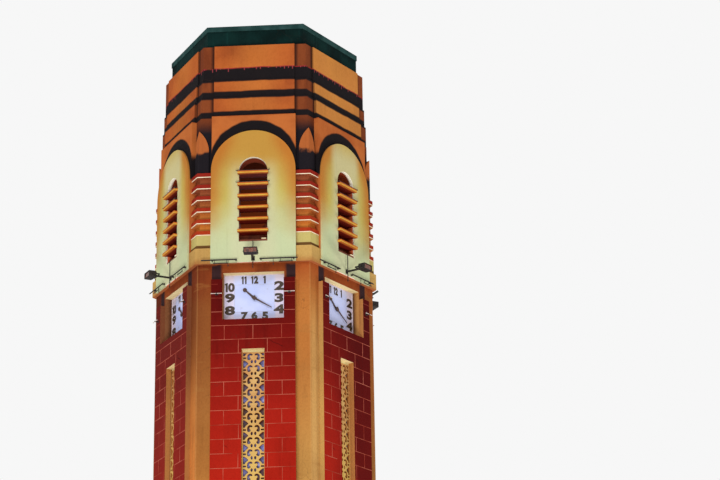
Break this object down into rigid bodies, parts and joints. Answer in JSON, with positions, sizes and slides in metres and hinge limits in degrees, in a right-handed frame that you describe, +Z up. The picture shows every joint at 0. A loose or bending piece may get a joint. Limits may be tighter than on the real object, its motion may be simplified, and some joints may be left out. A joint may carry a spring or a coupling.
{
  "type": "clock tower",
  "caption": "Hexagonal clock tower with red scored panels, pierced slot screens, square dials with turning hands, and a louvred round-arched belfry under set-back tiers.",
  "frame": {"origin": "centre of the tower's foot at ground level", "axes": "+Z up, the doorway face towards -Y, +X to the right of a viewer facing the doorway"},
  "size_m": [6.374, 6.58, 26.11],
  "materials": {
    "cream_plaster": "painted lime plaster, weathered",
    "red_plaster": "red scored plaster with pale joint lines",
    "screen_plaster": "painted pierced screen",
    "louvre_plaster": "painted concrete blades",
    "green_plaster": "dark green painted plaster",
    "roof_concrete": "bare concrete",
    "dial_panel": "white backlit opal sheet",
    "white_enamel": "white lamp tube",
    "hand_metal": "dark brown paint",
    "dark_steel": "dark weathered paint"
  },
  "bodies": {
    "tower": {"base_walls": "cream_plaster", "belfry_corners": "cream_plaster", "belfry_floor": "cream_plaster", "belfry_wall_1": "cream_plaster", "belfry_wall_2": "cream_plaster", "belfry_wall_3": "cream_plaster", "belfry_wall_4": "cream_plaster", "belfry_wall_5": "cream_plaster", "belfry_wall_6": "cream_plaster", "clock_dials": "dial_panel", "corner_piers": "cream_plaster", "dial_frames": "cream_plaster", "dial_lamps": "white_enamel", "door_head": "cream_plaster", "door_jamb_left": "cream_plaster", "door_jamb_right": "cream_plaster", "floodlight_arms": "dark_steel", "floodlights": "dark_steel", "jali_screens": "screen_plaster", "louvre_blades": "louvre_plaster", "lower_tier": "cream_plaster", "middle_tier": "cream_plaster", "parapet": "green_plaster", "parapet_coping": "green_plaster", "plinth": "cream_plaster", "red_panels": "red_plaster", "roof_slab": "roof_concrete", "shaft_wall_1": "cream_plaster", "shaft_wall_2": "cream_plaster", "shaft_wall_3": "cream_plaster", "shaft_wall_4": "cream_plaster", "shaft_wall_5": "cream_plaster", "shaft_wall_6": "cream_plaster", "steel_rails": "dark_steel", "upper_tier": "cream_plaster"},
    "minute_hand_1": {"minute_hand_1": "hand_metal"},
    "hour_hand_1": {"hour_hand_1": "hand_metal"},
    "minute_hand_2": {"minute_hand_2": "hand_metal"},
    "hour_hand_2": {"hour_hand_2": "hand_metal"},
    "minute_hand_3": {"minute_hand_3": "hand_metal"},
    "hour_hand_3": {"hour_hand_3": "hand_metal"},
    "minute_hand_4": {"minute_hand_4": "hand_metal"},
    "hour_hand_4": {"hour_hand_4": "hand_metal"},
    "minute_hand_5": {"minute_hand_5": "hand_metal"},
    "hour_hand_5": {"hour_hand_5": "hand_metal"},
    "minute_hand_6": {"minute_hand_6": "hand_metal"},
    "hour_hand_6": {"hour_hand_6": "hand_metal"}
  },
  "joints": [
    {"name": "minute_turn_1", "type": "hinge", "parent": "tower", "child": "minute_hand_1", "pos_m": [0, -2.27, 18.52], "axis": [0, 1, 0], "continuous": true},
    {"name": "hour_turn_1", "type": "hinge", "parent": "tower", "child": "hour_hand_1", "pos_m": [0, -2.27, 18.52], "axis": [0, 1, 0], "continuous": true},
    {"name": "minute_turn_2", "type": "hinge", "parent": "tower", "child": "minute_hand_2", "pos_m": [1.96588, -1.135, 18.52], "axis": [-0.866, 0.5, 0], "continuous": true},
    {"name": "hour_turn_2", "type": "hinge", "parent": "tower", "child": "hour_hand_2", "pos_m": [1.96588, -1.135, 18.52], "axis": [-0.866, 0.5, 0], "continuous": true},
    {"name": "minute_turn_3", "type": "hinge", "parent": "tower", "child": "minute_hand_3", "pos_m": [1.96588, 1.135, 18.52], "axis": [-0.866, -0.5, 0], "continuous": true},
    {"name": "hour_turn_3", "type": "hinge", "parent": "tower", "child": "hour_hand_3", "pos_m": [1.96588, 1.135, 18.52], "axis": [-0.866, -0.5, 0], "continuous": true},
    {"name": "minute_turn_4", "type": "hinge", "parent": "tower", "child": "minute_hand_4", "pos_m": [0, 2.27, 18.52], "axis": [0, -1, 0], "continuous": true},
    {"name": "hour_turn_4", "type": "hinge", "parent": "tower", "child": "hour_hand_4", "pos_m": [0, 2.27, 18.52], "axis": [0, -1, 0], "continuous": true},
    {"name": "minute_turn_5", "type": "hinge", "parent": "tower", "child": "minute_hand_5", "pos_m": [-1.96588, 1.135, 18.52], "axis": [0.866, -0.5, 0], "continuous": true},
    {"name": "hour_turn_5", "type": "hinge", "parent": "tower", "child": "hour_hand_5", "pos_m": [-1.96588, 1.135, 18.52], "axis": [0.866, -0.5, 0], "continuous": true},
    {"name": "minute_turn_6", "type": "hinge", "parent": "tower", "child": "minute_hand_6", "pos_m": [-1.96588, -1.135, 18.52], "axis": [0.866, 0.5, 0], "continuous": true},
    {"name": "hour_turn_6", "type": "hinge", "parent": "tower", "child": "hour_hand_6", "pos_m": [-1.96588, -1.135, 18.52], "axis": [0.866, 0.5, 0], "continuous": true}
  ],
  "couplings": [
    {"joint": "hour_turn_1", "follows": "minute_turn_1", "ratio": 0.083333},
    {"joint": "minute_turn_2", "follows": "minute_turn_1", "ratio": 1},
    {"joint": "hour_turn_2", "follows": "minute_turn_1", "ratio": 0.083333},
    {"joint": "minute_turn_3", "follows": "minute_turn_1", "ratio": 1},
    {"joint": "hour_turn_3", "follows": "minute_turn_1", "ratio": 0.083333},
    {"joint": "minute_turn_4", "follows": "minute_turn_1", "ratio": 1},
    {"joint": "hour_turn_4", "follows": "minute_turn_1", "ratio": 0.083333},
    {"joint": "minute_turn_5", "follows": "minute_turn_1", "ratio": 1},
    {"joint": "hour_turn_5", "follows": "minute_turn_1", "ratio": 0.083333},
    {"joint": "minute_turn_6", "follows": "minute_turn_1", "ratio": 1},
    {"joint": "hour_turn_6", "follows": "minute_turn_1", "ratio": 0.083333}
  ]
}
